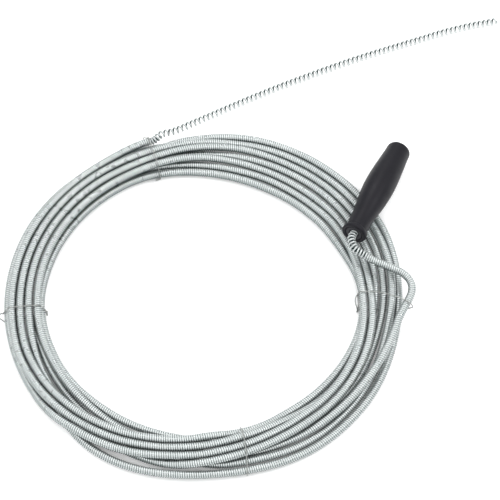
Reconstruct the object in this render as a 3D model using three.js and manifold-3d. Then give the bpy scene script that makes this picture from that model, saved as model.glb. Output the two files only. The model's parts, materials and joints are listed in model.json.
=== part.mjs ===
// Hand drain auger: a close-wound steel spiral stored as a tied coil, with a revolving
// grip on its cranked end and an opened-out head on its free end.
// Millimetres, +Z up. The object lies on the floor, z = 0.
import * as THREE from "three";
import { mergeVertices } from "three/addons/utils/BufferGeometryUtils.js";
import Module from "manifold-3d";

const wasm = await Module();
wasm.setup();

// ---------------------------------------------------------------- driving dimensions

const GAP = 0.3; // clearance between touching pieces
const SPIRAL_D = 9; // outside diameter of the spiral
const SPIRAL_R = SPIRAL_D / 2;
const SPIRAL_WIRE_D = 2.1; // wire that the spiral is wound from
const TIE_R = 0.6; // radius of the tie wires
const COIL_FLOOR = 2 * TIE_R + GAP; // underside of the coil, which lies on its ties
const LAYER_RISE = 7.8; // height that a nested second layer of turns adds
const ONE_LAYER = COIL_FLOOR + SPIRAL_D; // top of a single layer of turns
const TWO_LAYERS = ONE_LAYER + LAYER_RISE;
const COIL_CORNER = 4; // rounding of the band's section

// Band of turns every 30 degrees from +X, counter-clockwise: inner and outer radius.
const COIL_INNER = [163, 157, 150, 154, 162, 164, 167, 162, 156.5, 154, 156.5, 159.5];
const COIL_OUTER = [214, 216, 219, 207.5, 206, 212, 208.5, 207.5, 210.5, 206, 210.5, 215.5];

// Under the grip the turns lie side by side in one layer, between these azimuths.
const LOW_START = [12, 25];
const LOW_END = [72, 95];

const GRIP_LENGTH = 135;
const GRIP_MOUTH = new THREE.Vector3(162.0, 64.5, 34.9); // centre of the open end
const GRIP_HEADING = 65.8; // degrees from +X, seen from above
const GRIP_TILT = 9.4; // degrees that the far end lies lower than the mouth
const GRIP_BORE_R = 5.6;
const MOUTH_R = 9.3; // counterbore that takes the bush
const MOUTH_DEPTH = 14;
const BUSH_R = MOUTH_R - GAP;
const BUSH_BORE_R = 5.1;
const BUSH_RECESS = 1.2; // how deep the bush's face sits in the mouth
const CHAMBER_R = 8.6; // counterbore at the far end, for the washer and screw
const CHAMBER_START = 109;
const CAP_FLANGE_R = 9.2;
const CAP_FLANGE = 3; // thickness of the cap's flange
const CAP_SPIGOT = 5; // length of the cap's spigot below its flange
const WASHER_R = 7.8;
const WASHER_T = 1.5;
const SCREW_HEAD_R = 4.6;
const SCREW_HEAD_H = 3.2;
const SCREW_R = 2;
const SCREW_LENGTH = 14;
const SPIRAL_END = CHAMBER_START + 1.2; // end of the spiral inside the grip

// ---------------------------------------------------------------- materials

const steel = () =>
  new THREE.MeshStandardMaterial({ color: 0xc3cbca, roughness: 0.32, metalness: 0.9 });
const tieSteel = () =>
  new THREE.MeshStandardMaterial({ color: 0xa9acab, roughness: 0.4, metalness: 0.9 });
const screwSteel = () =>
  new THREE.MeshStandardMaterial({ color: 0xbfc2c4, roughness: 0.3, metalness: 0.9 });
const blackPlastic = () =>
  new THREE.MeshStandardMaterial({ color: 0x2f2e32, roughness: 0.45, metalness: 0 });
const bushPlastic = () =>
  new THREE.MeshStandardMaterial({ color: 0x3a393d, roughness: 0.55, metalness: 0 });

// ---------------------------------------------------------------- shared helpers

const radians = THREE.MathUtils.degToRad;

function named(name, geometry, material) {
  const mesh = new THREE.Mesh(geometry, material);
  mesh.name = name;
  return mesh;
}

function points3(list) {
  return list.map(([x, y, z]) => new THREE.Vector3(x, y, z));
}

// A round bar along a smooth curve through the points, closed at both ends.
function barAlong(points, radius, sides, steps) {
  const section = new THREE.Shape();
  for (let i = 0; i < sides; i++) {
    const turn = (2 * Math.PI * i) / sides;
    const [x, y] = [radius * Math.cos(turn), radius * Math.sin(turn)];
    if (i === 0) section.moveTo(x, y);
    else section.lineTo(x, y);
  }
  section.closePath();
  const path = new THREE.CatmullRomCurve3(points, false, "centripetal");
  return new THREE.ExtrudeGeometry(section, { steps, bevelEnabled: false, extrudePath: path });
}

// A turned piece about its own +Z: the profile lists [radius, height].
function turned(profile, segments = 48) {
  return new THREE.LatheGeometry(profile.map(([r, z]) => new THREE.Vector2(r, z)), segments)
    .rotateX(Math.PI / 2);
}

function toSolid(geometry) {
  const bare = geometry.clone();
  bare.deleteAttribute("normal");
  bare.deleteAttribute("uv");
  const merged = mergeVertices(bare, 1e-4);
  const mesh = new wasm.Mesh({
    numProp: 3,
    vertProperties: new Float32Array(merged.attributes.position.array),
    triVerts: new Uint32Array(merged.index.array),
  });
  return new wasm.Manifold(mesh);
}

function toGeometry(solid) {
  const mesh = solid.getMesh();
  const geometry = new THREE.BufferGeometry();
  geometry.setAttribute("position", new THREE.BufferAttribute(mesh.vertProperties, 3));
  geometry.setIndex(new THREE.BufferAttribute(mesh.triVerts, 1));
  return geometry;
}

function cut(geometry, ...tools) {
  let solid = toSolid(geometry);
  for (const tool of tools) solid = solid.subtract(toSolid(tool));
  return toGeometry(solid);
}

// Value at an azimuth between the entries of a list that goes once round the coil.
function around(list, degrees) {
  const place = (THREE.MathUtils.euclideanModulo(degrees, 360) / 360) * list.length;
  const i = Math.floor(place);
  const t = THREE.MathUtils.smoothstep(place - i, 0, 1);
  return THREE.MathUtils.lerp(list[i % list.length], list[(i + 1) % list.length], t);
}

function coilTop(degrees) {
  const azimuth = THREE.MathUtils.euclideanModulo(degrees, 360);
  const down = THREE.MathUtils.smoothstep(azimuth, ...LOW_START);
  const up = THREE.MathUtils.smoothstep(azimuth, ...LOW_END);
  return THREE.MathUtils.lerp(TWO_LAYERS, ONE_LAYER, down - up);
}

// ---------------------------------------------------------------- spiral

// Outer shape of the stored turns: a ring of rounded section whose width and height
// follow the band of turns as they spread and stack.
function spiralCoil() {
  const steps = 4;
  const unit = [];
  for (const [cx, cz, start] of [[1, 0, -90], [1, 1, 0], [0, 1, 90], [0, 0, 180]]) {
    for (let i = 0; i <= steps; i++) {
      const turn = radians(start + (90 * i) / steps);
      unit.push([cx, cz, COIL_CORNER * Math.cos(turn), COIL_CORNER * Math.sin(turn)]);
    }
  }
  unit.push(unit[0]);
  const profile = unit.map(([cx, cz, dx, dz]) => [160 + cx * 48 + dx, 6 + cz * 8 + dz]);
  const ring = turned(profile, 96);
  const position = ring.attributes.position;
  for (let i = 0; i < position.count; i++) {
    const azimuth = Math.atan2(position.getY(i), position.getX(i));
    const degrees = THREE.MathUtils.radToDeg(azimuth);
    const [cx, cz, dx, dz] = unit[i % unit.length];
    const inner = around(COIL_INNER, degrees) + COIL_CORNER;
    const outer = around(COIL_OUTER, degrees) - COIL_CORNER;
    const low = COIL_FLOOR + COIL_CORNER;
    const high = coilTop(degrees) - COIL_CORNER;
    const radius = THREE.MathUtils.lerp(inner, outer, cx) + dx;
    const height = THREE.MathUtils.lerp(low, high, cz) + dz;
    position.setXYZ(i, radius * Math.cos(azimuth), radius * Math.sin(azimuth), height);
  }
  return named("spiral_coil", ring, steel());
}

const gripAxis = new THREE.Vector3(
  Math.cos(radians(GRIP_TILT)) * Math.cos(radians(GRIP_HEADING)),
  Math.cos(radians(GRIP_TILT)) * Math.sin(radians(GRIP_HEADING)),
  -Math.sin(radians(GRIP_TILT)),
);

const onGripAxis = (station) => GRIP_MOUTH.clone().addScaledVector(gripAxis, station);

// Crank: from the coil's outer edge out round a wide bend, back across the turns and
// round a tight bend into the grip.
const CRANK_ROUTE = [
  [207.6, -30.7, 23.4],
  [212.2, -21.1, 23.2],
  [216.0, -13.7, 22.8],
  [219.3, -7.1, 22.5],
  [222.1, -0.3, 22.3],
  [223.0, 6.9, 22.4],
  [221.4, 13.6, 22.8],
  [217.4, 19.4, 23.4],
  [211.7, 24.1, 24.2],
  [202.2, 28.3, 25.4],
  [190.6, 33.0, 27.0],
  [181.1, 36.8, 28.6],
  [174.7, 40.3, 30.0],
  [169.4, 43.3, 31.6],
  [165.0, 45.6, 33.0],
  [162.0, 48.6, 34.2],
  [160.4, 52.6, 35.2],
];
const GRIP_STATIONS = [-6, 2, 10, 20, 40, 60, 80, 90, 100, SPIRAL_END];

function spiralCrankEnd() {
  const inGrip = GRIP_STATIONS.map(onGripAxis);
  const bar = barAlong([...points3(CRANK_ROUTE), ...inGrip], SPIRAL_R, 10, 76);
  const core = new THREE.CylinderGeometry(SPIRAL_R - SPIRAL_WIRE_D, SPIRAL_R - SPIRAL_WIRE_D, 40, 16);
  core.rotateX(Math.PI / 2);
  core.applyQuaternion(new THREE.Quaternion().setFromUnitVectors(new THREE.Vector3(0, 0, 1), gripAxis));
  const middle = onGripAxis(SPIRAL_END + 20 - SCREW_LENGTH);
  core.translate(middle.x, middle.y, middle.z);
  return named("spiral_crank_end", cut(bar, core), steel());
}

// Opened-out head: from the coil's outer edge down to the floor and away to its tip.
const HEAD_ROUTE = [
  [-40.0, 208.0, 10.3],
  [-33.0, 211.9, 9.6],
  [-10.3, 224.4, 7.8],
  [14.7, 238.4, 6.2],
  [39.8, 252.1, 5.2],
  [65.1, 265.1, 4.7],
  [90.0, 277.1, 4.6],
  [115.0, 288.4, 4.6],
  [140.7, 299.7, 4.6],
  [166.4, 310.5, 4.6],
  [192.1, 320.5, 4.6],
  [217.7, 330.0, 4.6],
  [243.8, 339.5, 4.6],
  [269.4, 348.9, 4.6],
  [295.6, 357.2, 4.6],
  [321.8, 363.7, 4.6],
  [336.9, 366.6, 4.6],
];

function spiralHead() {
  return named("spiral_head", barAlong(points3(HEAD_ROUTE), SPIRAL_R, 10, 22), steel());
}

// ---------------------------------------------------------------- grip

// Outside of the grip from its mouth: [station, radius], a beaded rim, a neck, a belly
// and a slimmer far end.
const GRIP_OUTLINE = [
  [0.6, 12.6], [2.2, 13.4], [4.2, 13.1], [6.2, 12.3],
  [11, 12.0], [18, 11.9], [25, 12.2], [32, 12.9], [40, 13.9], [48, 15.0],
  [57, 15.8], [67, 16.5], [77, 16.7], [87, 16.4], [97, 15.8], [107, 15.0],
  [117, 14.2], [126, 13.6],
];

function gripShell() {
  const outside = GRIP_OUTLINE.map(([station, radius]) => [radius, station]);
  const edge = 4;
  for (let i = 1; i <= 5; i++) {
    const turn = radians((90 * i) / 5);
    outside.push([13.4 - edge + edge * Math.cos(turn), GRIP_LENGTH - edge + edge * Math.sin(turn)]);
  }
  const capSeat = GRIP_LENGTH - CAP_FLANGE - GAP;
  const capMouth = CAP_FLANGE_R + GAP;
  outside[outside.length - 1] = [capMouth + 0.2, GRIP_LENGTH];
  const inside = [
    [capMouth, GRIP_LENGTH - 0.2],
    [capMouth, capSeat],
    [CHAMBER_R, capSeat],
    [CHAMBER_R, CHAMBER_START],
    [GRIP_BORE_R, CHAMBER_START],
    [GRIP_BORE_R, MOUTH_DEPTH],
    [MOUTH_R, MOUTH_DEPTH],
    [MOUTH_R, 1.6],
    [MOUTH_R + 0.7, 0.6],
    [11.4, 0],
  ];
  const profile = [...outside, ...inside];
  profile.push(profile[0]);
  return named("handle_grip", turned(profile), blackPlastic());
}

// Bush pressed into the mouth, in which the spiral turns.
function mouthBush() {
  const front = BUSH_RECESS;
  const back = MOUTH_DEPTH - GAP;
  const profile = [
    [BUSH_BORE_R + 0.8, front],
    [BUSH_R - 0.8, front],
    [BUSH_R, front + 0.8],
    [BUSH_R, back],
    [BUSH_BORE_R, back],
    [BUSH_BORE_R, front + 0.8],
    [BUSH_BORE_R + 0.8, front],
  ];
  return named("mouth_bush", turned(profile, 40), bushPlastic());
}

// Push-in cap that closes the far end.
function endCap() {
  const spigot = CHAMBER_R - GAP;
  const under = GRIP_LENGTH - CAP_FLANGE;
  const tip = under - CAP_SPIGOT;
  const wall = 1.8;
  const profile = [
    [0, under + 0.4],
    [spigot - wall, under + 0.4],
    [spigot - wall, tip],
    [spigot - 0.4, tip],
    [spigot, tip + 0.6],
    [spigot, under],
    [CAP_FLANGE_R, under],
    [CAP_FLANGE_R, GRIP_LENGTH - 0.6],
    [CAP_FLANGE_R - 0.6, GRIP_LENGTH],
    [0, GRIP_LENGTH],
  ];
  return named("handle_end_cap", turned(profile, 40), blackPlastic());
}

// Washer and screw that keep the grip on the end of the spiral.
function retainingWasher() {
  const front = SPIRAL_END + GAP;
  const hole = SCREW_R + GAP;
  const profile = [
    [hole, front],
    [WASHER_R, front],
    [WASHER_R, front + WASHER_T],
    [hole, front + WASHER_T],
    [hole, front],
  ];
  return named("retaining_washer", turned(profile, 32), screwSteel());
}

function retainingScrew() {
  const under = SPIRAL_END + 2 * GAP + WASHER_T;
  const tip = under - SCREW_LENGTH;
  const top = under + SCREW_HEAD_H;
  const profile = [
    [0, tip],
    [SCREW_R - 0.8, tip],
    [SCREW_R, tip + 1.6],
    [SCREW_R, under],
    [SCREW_HEAD_R, under],
    [SCREW_HEAD_R, under + 1],
    [SCREW_HEAD_R - 0.9, top - 0.5],
    [SCREW_HEAD_R - 2.2, top],
    [0, top],
  ];
  const recess = 1.8; // depth of the cross in the head
  const slots = [0, Math.PI / 2].map((turn) =>
    new THREE.BoxGeometry(5, 1, 2 * recess).rotateZ(turn).translate(0, 0, top));
  return named("retaining_screw", cut(turned(profile, 24), ...slots), screwSteel());
}

// ---------------------------------------------------------------- tie wires

// Convex outline of a set of [x, z] points, counter-clockwise.
function hull(points) {
  const sorted = [...points].sort((a, b) => a[0] - b[0] || a[1] - b[1]);
  const turnsRight = (o, a, b) => (a[0] - o[0]) * (b[1] - o[1]) - (a[1] - o[1]) * (b[0] - o[0]) <= 0;
  const half = (list) => {
    const chain = [];
    for (const p of list) {
      while (chain.length > 1 && turnsRight(chain.at(-2), chain.at(-1), p)) chain.pop();
      chain.push(p);
    }
    return chain.slice(0, -1);
  };
  return [...half(sorted), ...half([...sorted].reverse())];
}

// Taut outline of the band at an azimuth, as [radius, z] from the low inner corner, under
// the band, up its outside and back over the top. `beside` adds a bar tied in with it, and
// `back` is how many degrees before the azimuth the wire leaves the inside.
function bandOutline(azimuth, back, beside) {
  const standoff = GAP + TIE_R;
  const innermost = Math.min(around(COIL_INNER, azimuth), around(COIL_INNER, azimuth - back));
  const inner = innermost + COIL_CORNER;
  const outer = around(COIL_OUTER, azimuth) - COIL_CORNER;
  const low = COIL_FLOOR + COIL_CORNER;
  const high = coilTop(azimuth) - COIL_CORNER;
  const corners = [[inner, low], [outer, low], [outer, high], [inner, high]];
  const discs = [...corners.map(([r, z]) => [r, z, COIL_CORNER]), ...beside];
  const rim = [];
  for (const [r, z, size] of discs) {
    for (let i = 0; i < 16; i++) {
      const turn = (2 * Math.PI * i) / 16;
      const reach = size + standoff;
      rim.push([r + reach * Math.cos(turn), z + reach * Math.sin(turn)]);
    }
  }
  return { outline: spaced(hull(rim), 7), low, high };
}

// The same open outline with extra points on its long straight runs.
function spaced(outline, step) {
  const list = [];
  outline.forEach((p, i) => {
    list.push(p);
    const next = outline[i + 1];
    if (!next) return;
    const parts = Math.ceil(Math.hypot(next[0] - p[0], next[1] - p[1]) / step);
    for (let k = 1; k < parts; k++) {
      const t = k / parts;
      list.push([THREE.MathUtils.lerp(p[0], next[0], t), THREE.MathUtils.lerp(p[1], next[1], t)]);
    }
  });
  return list;
}

// One of the two ends of a tie, twisted round the other inside the ring, from its root.
function twistedEnd(root, phase, lean) {
  const radius = 0.8;
  const length = 9;
  const steps = 6;
  const list = [];
  for (let i = 1; i <= steps; i++) {
    const run = (length * i) / steps;
    const turn = phase + (2 * Math.PI * run) / length;
    list.push([
      root[0] - 0.35 * run + radius * Math.cos(turn),
      root[1] + lean * run,
      root[2] + radius * Math.sin(turn),
    ]);
  }
  return list;
}

// A wire drawn tight round the band of turns, its two ends twisted together inside the
// ring. `eye` is the size of a small loop that stands off the outside, and `bow` is how
// far along the band the top wire bows out before it reaches the twist.
function tieWire(name, { azimuth, eye = 0, bow = 0, beside = [] }) {
  const back = THREE.MathUtils.radToDeg(bow / around(COIL_INNER, azimuth));
  const { outline, low, high } = bandOutline(azimuth, back, beside);
  const flank = outline[0][0];
  const outside = Math.max(...outline.map(([r]) => r));
  const middle = (low + high) / 2;
  const root = [flank - 1.4, -bow, middle];
  const lean = bow > 0 ? -1 : 1;
  const loop = [];
  let aside = 0; // how far the wire has moved along the band
  let looped = eye === 0;
  for (const [r, z] of outline) {
    if (!looped && r > outside - 0.1 && z > low - 0.1) {
      loop.push([r, 0, z]);
      loop.push([r + 0.5 * eye, 0.1 * eye, middle]);
      loop.push([r + eye, 0.45 * eye, middle + 1]);
      loop.push([r + 0.5 * eye, 0.8 * eye, middle + 2]);
      aside = 0.85 * eye;
      looped = true;
      continue;
    }
    const across = (r - flank) / (outside - flank);
    const returning = z > middle ? aside : 0;
    loop.push([r, returning * across - (z < middle ? bow * (1 - across) : 0), z]);
  }
  if (bow > 0) {
    loop.push([flank - 0.22 * bow, -0.2 * bow, middle + 2]);
    loop.push([flank - 0.34 * bow, -0.5 * bow, middle + 1.5]);
    loop.push([flank - 0.26 * bow, -0.82 * bow, middle + 1]);
  }
  const under = twistedEnd(root, -Math.PI / 2, lean).reverse();
  const over = twistedEnd(root, Math.PI / 2, lean);
  const route = [...under, ...loop, ...over].map(([r, t, z]) => {
    const turn = radians(azimuth) + t / r;
    return new THREE.Vector3(r * Math.cos(turn), r * Math.sin(turn), z);
  });
  return named(name, barAlong(route, TIE_R, 6, 110), tieSteel());
}

const TIES = [
  { azimuth: 107, eye: 5 },
  { azimuth: 184.5, eye: 7 },
  { azimuth: 285 },
  { azimuth: 0.5, bow: 16, beside: [[222.5, 22.4, SPIRAL_R + 0.3]] },
];

// ---------------------------------------------------------------- assembly

const handle = new THREE.Group();
handle.add(gripShell(), mouthBush(), endCap());
const retainer = new THREE.Group();
retainer.add(retainingWasher(), retainingScrew());
for (const group of [handle, retainer]) {
  group.position.copy(GRIP_MOUTH);
  group.quaternion.setFromUnitVectors(new THREE.Vector3(0, 0, 1), gripAxis);
}

const ties = new THREE.Group();
TIES.forEach((tie, i) => ties.add(tieWire(`tie_wire_${i + 1}`, tie)));

// The origin is under the middle of the box round the grip, its fastenings and the ties.
const auger = new THREE.Group();
auger.add(spiralCoil(), spiralCrankEnd(), spiralHead(), handle, retainer, ties);
auger.updateMatrixWorld(true);
const base = new THREE.Box3();
for (const group of [handle, retainer, ties]) base.expandByObject(group, true);
const middle = base.getCenter(new THREE.Vector3());
auger.position.set(-middle.x, -middle.y, -base.min.z);

export default auger;
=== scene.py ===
"""Hand drain auger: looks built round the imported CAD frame. Metres, +Z up."""
import json
import math

import bmesh
import bpy
import numpy as np
from mathutils import Matrix, Vector


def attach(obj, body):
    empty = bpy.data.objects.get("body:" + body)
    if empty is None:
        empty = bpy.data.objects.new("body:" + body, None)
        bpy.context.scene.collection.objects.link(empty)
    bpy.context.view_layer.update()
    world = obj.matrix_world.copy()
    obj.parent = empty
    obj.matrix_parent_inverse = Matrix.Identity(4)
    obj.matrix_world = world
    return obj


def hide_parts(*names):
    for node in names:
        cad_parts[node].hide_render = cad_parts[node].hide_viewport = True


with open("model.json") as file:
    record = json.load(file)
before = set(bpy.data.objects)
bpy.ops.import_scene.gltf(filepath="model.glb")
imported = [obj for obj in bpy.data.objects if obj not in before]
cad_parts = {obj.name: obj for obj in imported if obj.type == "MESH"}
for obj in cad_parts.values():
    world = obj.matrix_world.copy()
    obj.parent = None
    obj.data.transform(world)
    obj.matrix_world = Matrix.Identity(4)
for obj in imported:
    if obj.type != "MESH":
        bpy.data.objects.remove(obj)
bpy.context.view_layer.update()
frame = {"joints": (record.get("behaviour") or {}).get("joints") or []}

MM = 0.001

# ---------------------------------------------------------------- driving dimensions

SPIRAL_R = 4.5 * MM
WIRE_R = 1.05 * MM
CLOSE_PITCH = 2.35 * MM
HEAD_PITCH = 5.5 * MM
GROOVE_DEPTH = 0.95 * MM
TIE_R = 0.6 * MM
TWIST_PITCH = 3.7 * MM
GAP = 0.3 * MM
COIL_FLOOR = 2 * TIE_R + GAP  # the turns lie on the tie wires

GRIP_LENGTH = 135 * MM
GRIP_BORE_R = 5.6 * MM
MOUTH_R = 9.3 * MM
MOUTH_DEPTH = 14 * MM
CHAMBER_R = 8.6 * MM
CHAMBER_START = 109 * MM
CAP_FLANGE_R = 9.2 * MM
CAP_FLANGE = 3 * MM
WASHER_R = 7.8 * MM
WASHER_T = 1.5 * MM
SCREW_R = 2 * MM
SCREW_HEAD_R = 4.6 * MM
SCREW_HEAD_H = 3.2 * MM
SCREW_LENGTH = 14 * MM
SPIRAL_END = CHAMBER_START + 1.2 * MM  # end of the spiral inside the grip

# The grip's axis and mouth are the joint's; the coil's centre follows from the mouth.
joint = frame["joints"][0]
MOUTH = Vector(joint["pos_m"])
GRIP_AXIS = Vector(joint["axis"]).normalized()
COIL_CENTRE = MOUTH - Vector((162.0, 64.5, 34.9)) * MM


def on_grip_axis(station):
    return MOUTH + GRIP_AXIS * station


# ---------------------------------------------------------------- camera


def make_camera():
    """Looks down at the coil from the front, 60 degrees above the floor."""
    elevation = math.radians(60)
    distance = 2.25
    target = COIL_CENTRE + Vector((51.6, 65.0, 0)) * MM
    target.z = 0
    back = Vector((0, -math.cos(elevation), math.sin(elevation)))
    data = bpy.data.cameras.new("camera")
    data.lens = 150
    data.sensor_width = 36
    data.clip_end = 50
    camera = bpy.data.objects.new("camera", data)
    camera.location = target + back * distance
    camera.rotation_mode = "QUATERNION"
    camera.rotation_quaternion = (-back).to_track_quat("-Z", "Y")
    bpy.context.scene.collection.objects.link(camera)
    bpy.context.scene.camera = camera


make_camera()

# ---------------------------------------------------------------- mesh helpers


def add_mesh(name, vertices, faces, material, smooth=True):
    mesh = bpy.data.meshes.new(name)
    mesh.from_pydata([tuple(v) for v in vertices], [], [tuple(f) for f in faces])
    mesh.update()
    if smooth:
        mesh.polygons.foreach_set("use_smooth", [True] * len(mesh.polygons))
    piece = bpy.data.objects.new(name, mesh)
    bpy.context.scene.collection.objects.link(piece)
    piece.data.materials.append(material)
    return piece


def sharpen(piece, degrees):
    """Marks the edges where two faces meet at more than this angle as sharp."""
    form = bmesh.new()
    form.from_mesh(piece.data)
    bmesh.ops.recalc_face_normals(form, faces=form.faces)
    for edge in form.edges:
        if len(edge.link_faces) == 2 and edge.calc_face_angle(0) > math.radians(degrees):
            edge.smooth = False
    form.to_mesh(piece.data)
    form.free()


def catmull_rom(points, step):
    """A smooth line through the points, with a point about every step."""
    p = np.array(points, float)
    p = np.vstack([2 * p[0] - p[1], p, 2 * p[-1] - p[-2]])
    knots = np.concatenate([[0], np.cumsum(np.linalg.norm(np.diff(p, axis=0), axis=1) ** 0.5)])
    line = [p[1]]
    for i in range(1, len(p) - 2):
        t0, t1, t2, t3 = knots[i - 1 : i + 3]
        parts = max(1, math.ceil(np.linalg.norm(p[i + 1] - p[i]) / step))
        t = np.linspace(t1, t2, parts + 1)[1:, None]
        a1 = (t1 - t) / (t1 - t0) * p[i - 1] + (t - t0) / (t1 - t0) * p[i]
        a2 = (t2 - t) / (t2 - t1) * p[i] + (t - t1) / (t2 - t1) * p[i + 1]
        a3 = (t3 - t) / (t3 - t2) * p[i + 1] + (t - t2) / (t3 - t2) * p[i + 2]
        b1 = (t2 - t) / (t2 - t0) * a1 + (t - t0) / (t2 - t0) * a2
        b2 = (t3 - t) / (t3 - t1) * a2 + (t - t1) / (t3 - t1) * a3
        line.extend((t2 - t) / (t2 - t1) * b1 + (t - t1) / (t2 - t1) * b2)
    return np.array(line)


def unit(v):
    return v / np.maximum(np.linalg.norm(v, axis=-1, keepdims=True), 1e-12)


class Centreline:
    """A line with a frame that doesn't twist, read at any distance along it."""

    def __init__(self, line):
        self.line = line
        steps = np.linalg.norm(np.diff(line, axis=0), axis=1)
        self.along = np.concatenate([[0], np.cumsum(steps)])
        self.length = self.along[-1]
        self.tangent = unit(np.gradient(line, self.along, axis=0))
        normal = np.cross(self.tangent[0], [0, 0, 1.0])
        normals = []
        for t in self.tangent:
            normal = normal - t * (normal @ t)
            normal = normal / np.linalg.norm(normal)
            normals.append(normal)
        self.normal = np.array(normals)

    def read(self, values, s):
        return np.stack([np.interp(s, self.along, values[:, k]) for k in range(3)], axis=-1)

    def at(self, s):
        """Place, normal and binormal at each distance."""
        tangent = unit(self.read(self.tangent, s))
        normal = self.read(self.normal, s)
        normal = unit(normal - tangent * (normal * tangent).sum(-1, keepdims=True))
        return self.read(self.line, s), normal, np.cross(tangent, normal)


# ---------------------------------------------------------------- materials


def new_material(name):
    material = bpy.data.materials.new(name)
    material.use_nodes = True
    nodes = material.node_tree.nodes
    return material, nodes, material.node_tree.links, nodes["Principled BSDF"]


def noise(nodes, links, scale, detail=3.0):
    place = nodes.new("ShaderNodeTexCoord")
    texture = nodes.new("ShaderNodeTexNoise")
    texture.inputs["Scale"].default_value = scale
    texture.inputs["Detail"].default_value = detail
    links.new(place.outputs["Object"], texture.inputs["Vector"])
    return texture.outputs["Fac"]


def spread(nodes, links, value, low, high):
    """Turns a value from 0.3 to 0.7, the middle of a noise, into low to high."""
    ranged = nodes.new("ShaderNodeMapRange")
    ranged.inputs["From Min"].default_value = 0.3
    ranged.inputs["From Max"].default_value = 0.7
    ranged.inputs["To Min"].default_value = low
    ranged.inputs["To Max"].default_value = high
    links.new(value, ranged.inputs["Value"])
    return ranged.outputs["Result"]


def mixed(nodes, links, factor, first, second):
    mix = nodes.new("ShaderNodeMix")
    mix.data_type = "RGBA"
    links.new(factor, mix.inputs["Factor"])
    for socket, colour in ((mix.inputs["A"], first), (mix.inputs["B"], second)):
        if isinstance(colour, bpy.types.NodeSocket):
            links.new(colour, socket)
        else:
            socket.default_value = (*colour, 1)
    return mix.outputs["Result"]


def bump(nodes, links, shader, height, strength, distance):
    node = nodes.new("ShaderNodeBump")
    node.inputs["Strength"].default_value = strength
    node.inputs["Distance"].default_value = distance
    links.new(height, node.inputs["Height"])
    links.new(node.outputs["Normal"], shader.inputs["Normal"])


def steel_material(name, light, dull, rough, painted_shade_colour=None):
    """Bright zinc-coated steel, a little dull in patches. Given a colour for painted shade, it is
    painted with that dark shade where the mesh's attribute "groove" is high."""
    material, nodes, links, shader = new_material(name)
    shader.inputs["Metallic"].default_value = 0.7
    patches = spread(nodes, links, noise(nodes, links, 45, 4.0), 0, 1)
    colour = mixed(nodes, links, patches, light, dull)
    if painted_shade_colour:
        # painted shade: the "groove" attribute mixes in the dark colour where it is high
        groove = nodes.new("ShaderNodeAttribute")
        groove.attribute_name = "groove"
        down = spread(nodes, links, groove.outputs["Fac"], 0, 1)
        colour = mixed(nodes, links, down, colour, painted_shade_colour)
    links.new(colour, shader.inputs["Base Color"])
    links.new(spread(nodes, links, noise(nodes, links, 160), *rough), shader.inputs["Roughness"])
    bump(nodes, links, shader, noise(nodes, links, 2500, 2.0), 0.12, 0.05 * MM)
    return material


def plastic_material(name, dark, worn, rough, grain):
    """Moulded plastic with a fine grain, and a few paler rubbed patches."""
    material, nodes, links, shader = new_material(name)
    rubbed = spread(nodes, links, noise(nodes, links, 38, 6.0), 0, 1)
    links.new(mixed(nodes, links, rubbed, dark, worn), shader.inputs["Base Color"])
    links.new(spread(nodes, links, noise(nodes, links, 90), *rough), shader.inputs["Roughness"])
    shader.inputs["Specular IOR Level"].default_value = 0.16
    bump(nodes, links, shader, noise(nodes, links, grain, 2.0), 0.22, 0.08 * MM)
    return material


SPIRAL_STEEL = steel_material(
    "spiral_steel",
    light=(0.59, 0.615, 0.612),
    dull=(0.525, 0.555, 0.553),
    rough=(0.24, 0.36),
    # dark teal painted shade for the grooves between wires and the turns' lower sides
    painted_shade_colour=(0.025, 0.055, 0.053),
)
TIE_STEEL = steel_material(
    "tie_steel", light=(0.34, 0.35, 0.34), dull=(0.26, 0.27, 0.26), rough=(0.25, 0.38)
)
FASTENER_STEEL = steel_material(
    "fastener_steel", light=(0.78, 0.79, 0.80), dull=(0.68, 0.69, 0.70), rough=(0.22, 0.34)
)
GRIP_PLASTIC = plastic_material(
    "grip_plastic",
    dark=(0.0068, 0.0062, 0.0092),
    worn=(0.0100, 0.0093, 0.0130),
    rough=(0.42, 0.52),
    grain=1400,
)
BUSH_PLASTIC = plastic_material(
    "bush_plastic",
    dark=(0.026, 0.026, 0.030),
    worn=(0.034, 0.034, 0.038),
    rough=(0.45, 0.55),
    grain=1800,
)

# ---------------------------------------------------------------- stored turns

# The coil's band every 30 degrees from +X, counter-clockwise: inner and outer radius, mm.
COIL_INNER = [163, 157, 150, 154, 162, 164, 167, 162, 156.5, 154, 156.5, 159.5]
COIL_OUTER = [214, 216, 219, 207.5, 206, 212, 208.5, 207.5, 210.5, 206, 210.5, 215.5]

TURN_START = -8.4  # azimuth at which the crank becomes the first turn, degrees
TURN_STEP = 3.0  # the turns run clockwise, one point every 3 degrees
PER_TURN = int(360 / TURN_STEP)
TURN_POINTS = 924  # 7.7 turns, up to where the head leaves the coil

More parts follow.
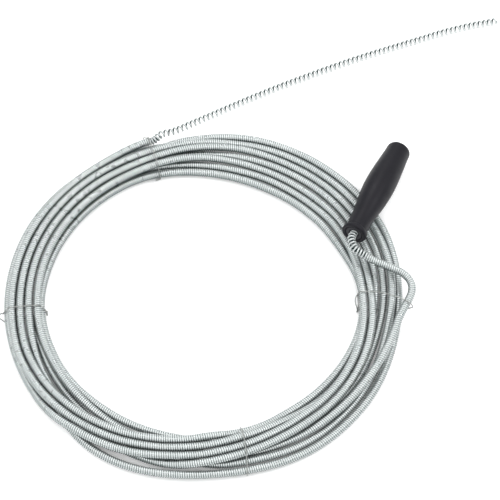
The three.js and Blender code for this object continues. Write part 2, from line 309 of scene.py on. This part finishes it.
# Each turn's radius in mm where it passes these azimuths going clockwise, with L where it
# lies on the floor layer and H where it rides on top of it. A whole turn takes two lines.
TURN_AZIMUTHS = [340, 330, 300, 285, 270, 240, 215, 180, 150, 120, 110, 90, 75, 60, 30, 15, 0, 352]
TURN_RADII = [
    "203H 197.5H 190H 188L 175L 170L 171H 174.5H 174H "
    "171H 173H 173H 178L 174L 175L 174.5H 180H 182.5H",
    "184.5H 186H 182.5H 184H 190.5H 188.5L 184L 181.5H 183.5H "
    "179.5H 181H 187H 193.5L 193L 199L 199L 194L 188L",
    "187L 191L 179L 171L 160L 161L 166.5L 171L 168.5L "
    "168L 168L 160.5L 155.5L 154.5L 162.5L 169.5L 175L 174L",
    "170L 166L 161L 160L 164H 178.5H 191.5H 191H 192.5H "
    "188.5H 191H 196H 201.5L 203L 206L 208H 203H 197H",
    "197L 204L 198.5L 196H 190L 179.5L 175.5L 186L 188L "
    "176L 175L 168L 170L 164.5L 168L 167.5H 171.5H 174H",
    "176.5H 178.5H 174.5H 177H 187H 196.5H 202L 204.5L 207L "
    "201L 201.5L 203L 209L 213.5L 212L 212L 208L 207L",
    "208L 209.5L 204L 198.5L 199.5L 210L 193L 195L 197L "
    "187L 185L 183.5L 186L 183.5L 190L 190L 184L 181L",
    "178L 175L 167H 167H 173H 187H 200H 200H 200H 197H 200H",
]
START_RADIUS = 209.9  # where the crank comes in, mm
END_RADIUS = 212.0  # where the head goes out, mm
LOW_START = (12, 25)  # between these azimuths the turns lie in one layer
LOW_END = (72, 95)
LAYER_RISE = 7.8 * MM
CRANK_START = (207.6, -30.7, 23.4)  # where the crank meets the first turn, from the coil's centre
CRANK_FALL = 36  # degrees over which the first turn comes down from the crank's height
END_UPPER = 0.6  # how far the last turn has risen from the floor layer to the top one
END_HEIGHT = 11.2 * MM  # of the last turn's end

# How the turns settle: drawn to their places, kept smooth and pushed apart, again and again.
SETTLE_ROUNDS = 700
LAST_ROUNDS = 60  # rounds at the end with more pushes each
PUSHES = 3
LAST_PUSHES = 6
PULL = 0.02  # share of the way to its place that a point moves in a round
SAG = 0.02 * MM  # how far it drops in a round
EVENING = 0.3  # share of the way to the middle of its neighbours that it moves
TURN_GAP = 0.12 * MM  # between touching turns
INNER_SLACK = 1 * MM  # how far the turns may leave the band, inward and outward
OUTER_SLACK = 3 * MM


def smoothstep(x, low, high):
    t = np.clip((x - low) / (high - low), 0, 1)
    return t * t * (3 - 2 * t)


def around(values, azimuth):
    """Value at an azimuth between the entries of a list that goes once round, in metres."""
    place = np.mod(azimuth, 360) / 360 * len(values)
    i = np.floor(place).astype(int) % len(values)
    t = smoothstep(place - np.floor(place), 0, 1)
    values = np.array(values)
    return ((1 - t) * values[i] + t * values[(i + 1) % len(values)]) * MM


def stored_turns():
    """(azimuth, radius, height) of each point of the turns, settled so that none overlap."""
    index = np.arange(TURN_POINTS)
    turned_by = index * TURN_STEP
    azimuth = TURN_START - turned_by
    inner = around(COIL_INNER, azimuth) + SPIRAL_R
    outer = around(COIL_OUTER, azimuth) - SPIRAL_R
    place_at = [0.0]
    place_radius = [START_RADIUS]
    place_upper = [1.0]
    for turn, places in enumerate(TURN_RADII):
        for place_azimuth, place in zip(TURN_AZIMUTHS, places.split()):
            place_at.append((TURN_START - place_azimuth) % 360 + 360 * turn)
            place_radius.append(float(place[:-1]))
            place_upper.append(1.0 if place.endswith("H") else 0.0)
    place_at.append(turned_by[-1])
    place_radius.append(END_RADIUS)
    place_upper.append(END_UPPER)
    wanted_r = np.interp(turned_by, place_at, place_radius) * MM
    for _ in range(6):
        wanted_r[1:-1] = 0.25 * wanted_r[:-2] + 0.5 * wanted_r[1:-1] + 0.25 * wanted_r[2:]
    one_layer = smoothstep(np.mod(azimuth, 360), *LOW_START) - smoothstep(np.mod(azimuth, 360), *LOW_END)
    lowest = COIL_FLOOR + SPIRAL_R
    wanted_z = lowest + LAYER_RISE * np.interp(turned_by, place_at, place_upper) * (1 - one_layer)
    start_height = CRANK_START[2] * MM + COIL_CENTRE.z
    fallen = smoothstep(turned_by, 0, CRANK_FALL)
    wanted_z = np.maximum(wanted_z, start_height - (start_height - wanted_z) * fallen)
    radius, height = wanted_r.copy(), wanted_z.copy()
    fixed_start = (math.hypot(*CRANK_START[:2]) * MM, start_height)
    fixed_end = (END_RADIUS * MM, END_HEIGHT)
    apart = 2 * SPIRAL_R + TURN_GAP
    for i in range(SETTLE_ROUNDS):
        radius += PULL * (wanted_r - radius)
        height += PULL * (wanted_z - height) - SAG
        for values in (radius, height):
            values[1:-1] += EVENING * (0.5 * (values[:-2] + values[2:]) - values[1:-1])
        for _ in range(PUSHES if i < SETTLE_ROUNDS - LAST_ROUNDS else LAST_PUSHES):
            push_apart(radius, height, apart)
            height[:] = np.maximum(height, lowest)
            radius[:] = np.clip(radius, inner - INNER_SLACK, outer + OUTER_SLACK)
        radius[0], height[0] = fixed_start
        radius[-1], height[-1] = fixed_end
    return azimuth, radius, height


def push_apart(radius, height, apart):
    """Moves points at one azimuth apart until their turns only touch."""
    for turns in range(1, TURN_POINTS // PER_TURN + 1):
        shift = turns * PER_TURN
        dr = radius[shift:] - radius[:-shift]
        dz = height[shift:] - height[:-shift]
        far = np.maximum(np.hypot(dr, dz), 1e-6)
        move = 0.5 * np.maximum(apart - far, 0) / far
        radius[shift:] += move * dr
        radius[:-shift] -= move * dr
        height[shift:] += move * dz
        height[:-shift] -= move * dz


def placed(points_mm):
    return [COIL_CENTRE + Vector(p) * MM for p in points_mm]


def on_coil(azimuth, radius, height):
    """Points of the coil's own cylinder coordinates; height is above the floor."""
    turn = np.radians(azimuth)
    x = COIL_CENTRE.x + radius * np.cos(turn)
    y = COIL_CENTRE.y + radius * np.sin(turn)
    return np.stack([x, y, height + 0 * x], axis=-1)


# ---------------------------------------------------------------- spiral

# From the coil's outer edge round the wide bend, over the turns and round the tight bend.
CRANK_ROUTE = [
    (212.2, -21.1, 23.2), (216.0, -13.7, 22.8), (219.3, -7.1, 22.5), (222.1, -0.3, 22.3),
    (223.0, 6.9, 22.4), (221.4, 13.6, 22.8), (217.4, 19.4, 23.4), (211.7, 24.1, 24.2),
    (202.2, 28.3, 25.4), (190.6, 33.0, 27.0), (181.1, 36.8, 28.6), (174.7, 40.3, 30.0),
    (169.4, 43.3, 31.6), (165.0, 45.6, 33.0), (162.0, 48.6, 34.2), (160.4, 52.6, 35.2),
]
GRIP_STATIONS = [-6, 2, 10, 14]
# From the coil's outer edge down to the floor and away to the tip.
HEAD_ROUTE = [
    (-33.0, 211.9, 9.6), (-10.3, 224.4, 7.8), (14.7, 238.4, 6.2), (39.8, 252.1, 5.2),
    (65.1, 265.1, 4.7), (90.0, 277.1, 4.6), (115.0, 288.4, 4.6), (140.7, 299.7, 4.6),
    (166.4, 310.5, 4.6), (192.1, 320.5, 4.6), (217.7, 330.0, 4.6), (243.8, 339.5, 4.6),
    (269.4, 348.9, 4.6), (295.6, 357.2, 4.6), (321.8, 363.7, 4.6), (336.9, 366.6, 4.6),
]
OPEN_CRANK = 48 * MM  # stretch from the grip whose turns stand open round the tight bend
CRANK_PITCH = 3.4 * MM
HEAD_OPENS = 34 * MM  # the head starts to open this far before it leaves the coil
HEAD_OPENING = 22 * MM  # stretch over which its pitch grows from the close one to its own
# Painted shade on the steel: spread() takes 0.3 and below as none, 0.7 and above as full.
GROOVE_PAINTED_SHADE = 0.7  # painted shade in the grooves between wires, on top of the stored turns
FLANK_PAINTED_SHADE = 0.78  # painted shade on the wire low on the sides of the stored turns
FLANK_EDGE = (-0.15, 0.4)  # the upward part of the surface's direction over which that fades
HEAD_OUTER_PAINTED_SHADE = 0.25  # painted shade on the outer side of the head's open wire
# painted shade on the inner side of the head's open wire
HEAD_INNER_PAINTED_SHADE = 0.75
WIRE_OVERLAP = 2.5  # turns that open wire runs on inside the close-wound tube


def spiral_line(turns):
    crank = [tuple(on_grip_axis(s * MM)) for s in reversed(GRIP_STATIONS)]
    crank += [tuple(p) for p in reversed(placed(CRANK_ROUTE))]
    head = [tuple(p) for p in placed(HEAD_ROUTE)]
    return catmull_rom([*crank, *on_coil(*turns), *head], 1.2 * MM)


def wound_tube(centre, start, end, pitch, phase):
    """Vertices and faces of close-wound wire seen from outside: a tube whose surface
    rises to a crest along each turn of the wire and falls to a groove between turns."""
    sides = 11
    count = int((end - start) / pitch * sides)
    step = pitch / sides
    crest = np.arange(count + 1)
    groove = np.arange(count + 1 + sides)

    def ring(index, back, reach):
        s = start + index * step - back
        place, normal, binormal = centre.at(s)
        turn = phase + 2 * math.pi * index / sides
        out = np.cos(turn)[:, None] * normal + np.sin(turn)[:, None] * binormal
        return place + out * reach, out[:, 2]

    grooves, grooves_up = ring(groove, pitch / 2, SPIRAL_R - GROOVE_DEPTH)
    crests, crests_up = ring(crest, 0, SPIRAL_R)
    ends = centre.at(np.array([start, start + count * step]))[0]
    vertices = np.vstack([grooves, crests, ends])
    c0 = len(grooves)
    i = np.arange(count)
    up = np.stack([i, i + 1, c0 + i + 1, c0 + i], axis=1)
    down = np.stack([c0 + i, c0 + i + 1, i + 1 + sides, i + sides], axis=1)
    faces = np.vstack([up, down]).tolist()
    loop_start = [*range(sides + 1), c0]
    loop_end = [*range(count + sides, count - 1, -1), c0 + count]
    for loop, hub in ((loop_start, len(vertices) - 2), (loop_end, len(vertices) - 1)):
        for a, b in zip(loop, loop[1:] + loop[:1]):
            faces.append((hub, b, a))
    # Painted shade: dark in the grooves all round, low on the turns' sides, and full on the end caps.
    groove_painted_shade = 1 - (1 - GROOVE_PAINTED_SHADE) * smoothstep(grooves_up, *FLANK_EDGE)
    crest_painted_shade = FLANK_PAINTED_SHADE * (1 - smoothstep(crests_up, *FLANK_EDGE))
    painted_shade = np.concatenate([groove_painted_shade, crest_painted_shade, [1.0, 1.0]])
    return vertices, faces, painted_shade, np.arange(len(grooves) - 1)


def wire_helix(centre, s, turn, outer=0.0, inner=1.0, sides=6):
    """Vertices and faces of a round wire wound about the centreline, by its distance along it and
    its angle about it at each step. outer and inner: painted shade on its outer and inner sides."""
    place, normal, binormal = centre.at(s)
    out = np.cos(turn)[:, None] * normal + np.sin(turn)[:, None] * binormal
    axis = place + out * (SPIRAL_R - WIRE_R)
    along = unit(np.gradient(axis, axis=0))
    out = unit(out - along * (out * along).sum(-1, keepdims=True))
    side = np.cross(along, out)
    rings = []
    for k in range(sides):
        a = 2 * math.pi * k / sides
        rings.append(axis + WIRE_R * (math.cos(a) * out + math.sin(a) * side))
    vertices = np.stack(rings, axis=1).reshape(-1, 3)
    i = np.arange(len(s) - 1)[:, None] * sides
    k = np.arange(sides)[None, :]
    after = (k + 1) % sides
    quads = np.stack([i + k, i + sides + k, i + sides + after, i + after], axis=-1)
    faces = quads.reshape(-1, 4).tolist()
    last = (len(s) - 1) * sides
    faces.append(tuple(range(sides)))
    faces.append(tuple(last + k for k in reversed(range(sides))))
    # painted shade, growing from the wire's outer side to its inner side
    inward = [0.5 - 0.5 * math.cos(2 * math.pi * k / sides) for k in range(sides)]
    painted_shade = np.tile([outer + (inner - outer) * share for share in inward], len(s))
    return vertices, faces, painted_shade


def joined(parts):
    vertices, faces, painted_shade, grooves = [], [], [], []
    base = 0
    for part in parts:
        vertices.append(part[0])
        faces += [[base + i for i in face] for face in part[1]]
        painted_shade.append(part[2])
        if len(part) > 3:
            grooves.append(part[3] + base)
        base += len(part[0])
    return np.vstack(vertices), faces, np.concatenate(painted_shade), grooves


def finish_spiral(name, parts):
    vertices, faces, painted_shade, grooves = joined(parts)
    piece = add_mesh(name, vertices, faces, SPIRAL_STEEL)
    mesh = piece.data
    # the painted shade values go to the attribute "groove" that the steel material reads
    painted_shade_attribute = mesh.attributes.new("groove", "FLOAT", "POINT")
    painted_shade_attribute.data.foreach_set("value", painted_shade.astype(np.float32))
    if grooves:
        starts = np.zeros(len(vertices), bool)
        starts[np.concatenate(grooves)] = True
        ends = np.zeros(len(mesh.edges) * 2, np.int32)
        mesh.edges.foreach_get("vertices", ends)
        ends = np.sort(ends.reshape(-1, 2), axis=1)
        sharp = starts[ends[:, 0]] & (ends[:, 1] == ends[:, 0] + 1)
        flag = mesh.attributes.new("sharp_edge", "BOOLEAN", "EDGE")
        flag.data.foreach_set("value", sharp)
    return piece


def make_spiral(turns):
    centre = Centreline(spiral_line(turns))
    steps = 13  # wire points in each turn
    head_steps = np.diff(np.array(placed(HEAD_ROUTE)), axis=0)
    head_length = float(np.linalg.norm(head_steps, axis=1).sum())
    head_start = centre.length - head_length - HEAD_OPENS
    crank_count = int(OPEN_CRANK / CRANK_PITCH * steps)
    crank_end = crank_count / steps * CRANK_PITCH
    crank_turn = 2 * math.pi * crank_count / steps
    overlap = np.arange(1, int(WIRE_OVERLAP * steps)) / steps
    i = np.arange(crank_count + 1) / steps
    # the open crank wire takes wire_helix's default painted shade, full on its inner side
    crank = wire_helix(
        centre,
        np.concatenate([i * CRANK_PITCH, crank_end + overlap * CLOSE_PITCH]),
        2 * math.pi * np.concatenate([i, crank_count / steps + overlap]),
    )
    tube = wound_tube(centre, crank_end, head_start, CLOSE_PITCH, crank_turn)
    # The head opens from the close pitch to its own over a few turns.
    phase = crank_turn + 2 * math.pi * (head_start - crank_end) / CLOSE_PITCH
    s = head_start - WIRE_OVERLAP * CLOSE_PITCH
    turn = phase - 2 * math.pi * WIRE_OVERLAP
    places = [s]
    angles = [turn]
    while s < centre.length - 1 * MM:
        opened = float(smoothstep(s, head_start, head_start + HEAD_OPENING))
        pitch = CLOSE_PITCH + (HEAD_PITCH - CLOSE_PITCH) * opened
        s += pitch / steps
        turn += 2 * math.pi / steps
        places.append(s)
        angles.append(turn)
    head = wire_helix(centre, np.array(places), np.array(angles), HEAD_OUTER_PAINTED_SHADE, HEAD_INNER_PAINTED_SHADE)
    spiral = finish_spiral("spiral", [crank, tube, head])
    path = centre.read(centre.line, np.arange(0, centre.length, 4 * MM)).tolist()
    path.append(centre.line[-1].tolist())
    return spiral, path, centre.length


def make_shank():
    """The spiral's straight end, inside the grip."""
    line = catmull_rom([tuple(on_grip_axis(s)) for s in (12 * MM, 60 * MM, SPIRAL_END)], 1.2 * MM)
    centre = Centreline(line)
    steps = 12
    count = int(centre.length / CLOSE_PITCH * steps)
    i = np.arange(count + 1)
    # painted shade by default, full on the wire's inner side
    wire = wire_helix(centre, i / steps * CLOSE_PITCH, 2 * math.pi * i / steps)
    return finish_spiral("spiral_shank", [wire])


# ---------------------------------------------------------------- grip and fastenings

UP_TO_GRIP_AXIS = Vector((0, 0, 1)).rotation_difference(GRIP_AXIS).to_matrix().to_4x4()
GRIP_PLACE = Matrix.Translation(MOUTH) @ UP_TO_GRIP_AXIS


def arc(centre, radius, start, end, parts=6):
    """Points of an arc in a profile, angles in degrees from outward to up."""
    points = []
    for i in range(parts + 1):
        a = math.radians(start + (end - start) * i / parts)
        points.append((centre[0] + radius * math.cos(a), centre[1] + radius * math.sin(a)))
    return points


def turned(name, profile_mm, material, segments=96, closed=True, shape=None):
    """A piece turned about the grip's axis: the profile lists (radius, station) in mm."""
    vertices, faces = [], []
    rows = []
    for r, z in profile_mm:
        row = []
        if r < 1e-6:
            row = [len(vertices)] * segments
            vertices.append((0, 0, z * MM))
        else:
            for k in range(segments):
                a = 2 * math.pi * k / segments
                reach = r + (shape(a, z) if shape else 0)
                row.append(len(vertices))
                vertices.append((reach * math.cos(a) * MM, reach * math.sin(a) * MM, z * MM))
        rows.append(row)
    pairs = list(zip(rows, rows[1:]))
    if closed:
        pairs.append((rows[-1], rows[0]))
    for low, high in pairs:
        for k in range(segments):
            n = (k + 1) % segments
            face = list(dict.fromkeys([low[k], low[n], high[n], high[k]]))
            if len(face) > 2:
                faces.append(face)
    piece = add_mesh(name, vertices, faces, material)
    piece.data.transform(GRIP_PLACE)
    sharpen(piece, 38)
    return piece


# Outside of the grip from its mouth, (station, radius) in mm: neck, belly, slimmer end.
GRIP_OUTLINE = [
    (7.4, 12.15), (11, 12.0), (18, 11.9), (25, 12.2), (32, 12.9), (40, 13.9), (48, 15.0),
    (57, 15.8), (67, 16.5), (77, 16.7), (87, 16.4), (97, 15.8), (107, 15.0), (117, 14.2),
    (125, 13.65), (130.6, 13.4),
]


def make_grip():
    length = GRIP_LENGTH / MM
    rim = [(11.4, 0.0), *arc((12.0, 1.8), 1.8, -90, 0, 7), (13.8, 2.6), *arc((12.5, 4.1), 1.1, 20, 70, 4)]
    rim += [(12.25, 5.6), (11.95, 6.0), (11.95, 6.5)]
    curve = catmull_rom([(r, z, 0.0) for z, r in GRIP_OUTLINE], 1.6)
    outside = [(float(r), float(z)) for r, z, _ in curve]
    end = arc((13.35 - 4.2, length - 4.2), 4.2, 3, 84, 10)
    cap_seat = length - CAP_FLANGE / MM - 0.3
    cap_mouth = CAP_FLANGE_R / MM + 0.3
    inside = [
        (cap_mouth + 0.3, length),
        (cap_mouth, length - 0.3),
        (cap_mouth, cap_seat),
        (CHAMBER_R / MM, cap_seat),
        (CHAMBER_R / MM, CHAMBER_START / MM),
        (GRIP_BORE_R / MM, CHAMBER_START / MM),
        (GRIP_BORE_R / MM, MOUTH_DEPTH / MM),
        (MOUTH_R / MM, MOUTH_DEPTH / MM),
        (MOUTH_R / MM, 1.5),
        *arc((MOUTH_R / MM + 1.2, 1.5), 1.2, 180, 270, 5),
    ]

    def parting_line(angle, station):
        """Fine moulding ridge down each side of the grip's outside."""
        mean_radius, ridge_height, ridge_half_width = 14, 0.07, 0.5
        across = abs(math.sin(angle)) * mean_radius
        return ridge_height * max(0.0, 1 - across / ridge_half_width)

    return turned("grip", [*rim, *outside, *end, *inside], GRIP_PLASTIC, 128, shape=parting_line)


def make_bush():
    outer = MOUTH_R / MM - 0.3
    bore = 5.1
    front = 0.5
    back = MOUTH_DEPTH / MM - 0.3
    profile = [
        (bore, back), (bore, front + 1.0), *arc((bore + 1.0, front + 1.0), 1.0, 180, 270, 5),
        *arc((outer - 0.6, front + 0.6), 0.6, -90, 0, 4), (outer, back),
    ]
    return turned("grip_bush", profile, BUSH_PLASTIC)


def make_cap():
    length = GRIP_LENGTH / MM
    spigot = CHAMBER_R / MM - 0.3
    under = length - CAP_FLANGE / MM
    tip = under - 5
    flange = CAP_FLANGE_R / MM
    profile = [
        (0, under + 0.4), (spigot - 1.8, under + 0.4), (spigot - 1.8, tip), (spigot - 0.4, tip),
        (spigot, tip + 0.6), (spigot, under), (flange, under),
        *arc((flange - 0.7, length - 0.7), 0.7, 0, 90, 5),
        (flange - 2.2, length), (flange - 2.4, length - 0.35), (flange - 3.0, length - 0.35),
        (flange - 3.2, length), (0, length),
    ]
    return turned("grip_cap", profile, GRIP_PLASTIC, closed=False)


def make_washer():
    front = SPIRAL_END / MM + 0.3
    back = front + WASHER_T / MM
    hole = SCREW_R / MM + 0.3
    rim = WASHER_R / MM
    profile = [
        (hole, front), (rim - 0.2, front), (rim, front + 0.2),
        (rim, back - 0.3), (rim - 0.3, back), (hole, back),
    ]
    return turned("washer", profile, FASTENER_STEEL, 64)


def make_screw():
    """Pan-head screw with its thread, driven into the spiral's core."""
    under = SPIRAL_END / MM + 0.6 + WASHER_T / MM
    tip = under - SCREW_LENGTH / MM
    top = under + SCREW_HEAD_H / MM
    core = SCREW_R / MM
    profile = [(0, tip), (core - 0.9, tip + 0.2)]
    pitch = 1.25
    threads = int((under - 1.5 - tip - 1.2) / pitch)
    for i in range(threads):
        base = tip + 1.2 + i * pitch
        profile += [(core - 0.45, base), (core, base + 0.45 * pitch), (core - 0.45, base + 0.9 * pitch)]
    head = SCREW_HEAD_R / MM
    profile += [
        (core - 0.1, under - 0.6), (core - 0.1, under), (head - 0.2, under),
        *arc((head - 1.9, top - 1.9), 1.9, 0, 90, 7), (1.9, top), (1.5, top - 1.6), (0, top - 1.6),
    ]
    return turned("screw", profile, FASTENER_STEEL, 48, closed=False)


# ---------------------------------------------------------------- tie wires


def hull(points):
    """Convex outline of (r, z) points, counter-clockwise."""
    ordered = sorted(points)

    def half(listed):
        chain = []
        for p in listed:
            while len(chain) > 1:
                o, a = chain[-2], chain[-1]
                if (a[0] - o[0]) * (p[1] - o[1]) - (a[1] - o[1]) * (p[0] - o[0]) > 0:
                    break
                chain.pop()
            chain.append(p)
        return chain[:-1]

    return half(ordered) + half(ordered[::-1])


def turns_at(turns, azimuth):
    """(r, z) of each stored turn that passes an azimuth."""
    azimuths, radius, height = turns
    found = []
    index = np.arange(len(radius))
    turned_by = (azimuths[0] - azimuth) % 360
    while turned_by <= azimuths[0] - azimuths[-1]:
        place = turned_by / TURN_STEP
        found.append((np.interp(place, index, radius), np.interp(place, index, height)))
        turned_by += 360
    return found


def with_steps(outline, step):
    """The open outline with extra points on its long straight runs."""
    out = []
    for p, q in zip(outline, outline[1:]):
        parts = max(1, math.ceil(math.dist(p, q) / step))
        for k in range(parts):
            t = k / parts
            out.append((p[0] + t * (q[0] - p[0]), p[1] + t * (q[1] - p[1])))
    out.append(outline[-1])
    return out


def twisted_end(root, phase, lean, length):
    """One of a tie's two ends, twisted round the other, as (r, along, z) from the root."""
    out = []
    steps = 8
    for i in range(1, steps + 1):
        run = length * i / steps
        turn = phase + 2 * math.pi * run / TWIST_PITCH
        out.append((
            root[0] + 0.75 * MM * math.cos(turn),
            root[1] + lean * run,
            root[2] + 0.75 * MM * math.sin(turn),
        ))
    return out


def round_bar(line, radius, sides=8):
    centre = Centreline(line)
    place, normal, binormal = centre.at(centre.along)
    rings = []
    for k in range(sides):
        a = 2 * math.pi * k / sides
        rings.append(place + radius * (math.cos(a) * normal + math.sin(a) * binormal))
    vertices = np.stack(rings, axis=1).reshape(-1, 3)
    i = np.arange(len(line) - 1)[:, None] * sides
    k = np.arange(sides)[None, :]
    after = (k + 1) % sides
    faces = np.stack([i + k, i + after, i + sides + after, i + sides + k], axis=-1).reshape(-1, 4).tolist()
    last = (len(line) - 1) * sides
    faces.append(tuple(reversed(range(sides))))
    faces.append(tuple(last + k for k in range(sides)))
    return vertices, faces


def make_tie(name, turns, azimuth, eye=0.0, bow=0.0, slant=0.0, tail=5.5 * MM, beside=()):
    """A wire drawn tight round the turns, its two ends twisted together inside the coil.
    eye is the size of a small loop outside, bow is how far the top wire bows out inside,
    slant how far along the coil the wire has moved at its outside, and tail the length of the
    twist. A short twist is tucked under the turns."""
    reach = SPIRAL_R + TIE_R + 0.1 * MM
    rim = []
    for r, z in [*turns_at(turns, azimuth), *beside]:
        for k in range(20):
            a = 2 * math.pi * k / 20
            rim.append((r + reach * math.cos(a), max(z + reach * math.sin(a), TIE_R + 0.05 * MM)))
    ring = hull(rim)
    # Start low on the inner side, go under the turns, up outside and back over the top.
    flank = min(r for r, _ in ring)
    outside = max(r for r, _ in ring)
    low = min(z for _, z in ring)
    inner_low = max((p for p in ring if p[0] < flank + 2 * MM), key=lambda p: -p[1])
    start = ring.index(inner_low)
    outline = with_steps(ring[start:] + ring[:start], 5 * MM)
    high = max(z for _, z in outline)
    middle = 0.5 * (low + min(high, 18 * MM))
    inner_z = inner_low[1] + 3 * MM
    lean = -1 if bow else 1
    if tail > 2 * MM:
        root = (flank - 0.9 * MM, -bow, inner_z)
    else:
        root = (flank + 0.2 * MM, -bow, 1.6 * MM)
    loop = []
    looped = eye == 0
    for r, z in outline:
        across = (r - flank) / (outside - flank)
        if not looped and r > outside - 0.6 * MM and z > low + 2 * MM:
            loop.append((r, 1.55 * eye, z))
            loop.append((r + 0.55 * eye, 1.45 * eye, middle))
            loop.append((r + eye, 1.2 * eye, middle + 1 * MM))
            loop.append((r + 0.5 * eye, 0.5 * eye, middle + 2 * MM))
            looped = True
            continue
        aside = slant * across**2
        if z < middle:
            aside += (0 if looped else 1.55 * eye) * across - bow * (1 - across)
        loop.append((r, aside, z))
    if bow:
        # Shares of the bow inward and along, and the height above the middle.
        for inward, along, up in ((0.06, 0.12, 6), (0.20, 0.40, 5), (0.19, 0.72, 3), (0.08, 0.95, 0)):
            loop.append((flank - inward * bow, -along * bow, middle + up * MM))
    ends = [twisted_end(root, phase, lean, tail) for phase in (-math.pi / 2, math.pi / 2)]
    route = [*reversed(ends[0]), *loop, *ends[1]]
    points = []
    for r, along, z in route:
        turn = math.radians(azimuth) + along / r
        points.append((COIL_CENTRE.x + r * math.cos(turn), COIL_CENTRE.y + r * math.sin(turn), z))
    return add_mesh(name, *round_bar(catmull_rom(points, 0.8 * MM), TIE_R), TIE_STEEL)


TIES = [
    {"azimuth": 107, "eye": 3.5 * MM},
    {"azimuth": 184.5, "eye": 5.5 * MM},
    {"azimuth": 285.5, "slant": -7 * MM, "tail": 1.5 * MM},
    {
        "azimuth": 1,
        "bow": 13.5 * MM,
        "slant": -21 * MM,
        "tail": 1.5 * MM,
        "beside": [(218 * MM, 22.7 * MM)],  # the crank, which this wire takes in as well
    },
]

# ---------------------------------------------------------------- floor and light


def make_stage():
    material, _, _, shader = new_material("floor")
    shader.inputs["Base Color"].default_value = (0.93, 0.93, 0.93, 1)
    shader.inputs["Roughness"].default_value = 0.9
    shader.inputs["Emission Color"].default_value = (1, 1, 1, 1)
    shader.inputs["Emission Strength"].default_value = 0.2
    half = 30
    corners = [(-half, -half, 0), (half, -half, 0), (half, half, 0), (-half, half, 0)]
    floor = add_mesh("floor", corners, [(0, 1, 2, 3)], material, smooth=False)
    floor.location.z = -0.2 * MM  # just under what stands on it


def area_light(name, place, target, size, power):
    data = bpy.data.lights.new(name, "AREA")
    data.shape = "SQUARE"
    data.size = size
    data.energy = power
    light = bpy.data.objects.new(name, data)
    light.location = place
    light.rotation_mode = "QUATERNION"
    light.rotation_quaternion = (Vector(target) - Vector(place)).to_track_quat("-Z", "Y")
    bpy.context.scene.collection.objects.link(light)


def make_light():
    world = bpy.data.worlds.new("studio")
    bpy.context.scene.world = world
    world.use_nodes = True
    nodes, links = world.node_tree.nodes, world.node_tree.links
    place = nodes.new("ShaderNodeTexCoord")
    split = nodes.new("ShaderNodeSeparateXYZ")
    ramp = nodes.new("ShaderNodeValToRGB")
    ramp.color_ramp.elements[0].position = 0.0
    ramp.color_ramp.elements[0].color = (0.24, 0.29, 0.295, 1)
    ramp.color_ramp.elements[1].position = 0.75
    ramp.color_ramp.elements[1].color = (1, 1, 1, 1)
    links.new(place.outputs["Generated"], split.inputs[0])
    links.new(split.outputs["Z"], ramp.inputs["Fac"])
    links.new(ramp.outputs["Color"], nodes["Background"].inputs["Color"])
    nodes["Background"].inputs["Strength"].default_value = 1.3
    for name, place, power in (
        ("light_right", (1.5, 0.2, 1.5), 11.34),
        ("light_left", (-1.5, 0.2, 1.5), 7.56),
        ("light_back", (0.1, 1.6, 1.6), 10.08),
        ("light_front", (-0.1, -1.5, 1.4), 6.3),
    ):
        area_light(name, place, (0, 0, 0), 0.7, power)


# ---------------------------------------------------------------- assembly

turns = stored_turns()
spiral, spiral_path, spiral_length = make_spiral(turns)
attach(spiral, "spiral")
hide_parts("spiral_coil", "spiral_crank_end", "spiral_head")

shank = make_shank()
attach(shank, "spiral")

TURNED = [
    (make_grip, "grip", "handle_grip", "grip_plastic"),
    (make_bush, "grip", "mouth_bush", "bush_plastic"),
    (make_cap, "grip", "handle_end_cap", "grip_plastic"),
    (make_washer, "spiral", "retaining_washer", "fastener_steel"),
    (make_screw, "spiral", "retaining_screw", "fastener_steel"),
]
for make, body, node, slot in TURNED:
    piece = make()
    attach(piece, body)
    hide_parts(node)

for number, tie in enumerate(TIES, 1):
    piece = make_tie(f"tie_{number}", turns, **tie)
    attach(piece, "spiral")
    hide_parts(f"tie_wire_{number}")

make_stage()
make_light()
bpy.context.scene.view_settings.view_transform = "Standard"
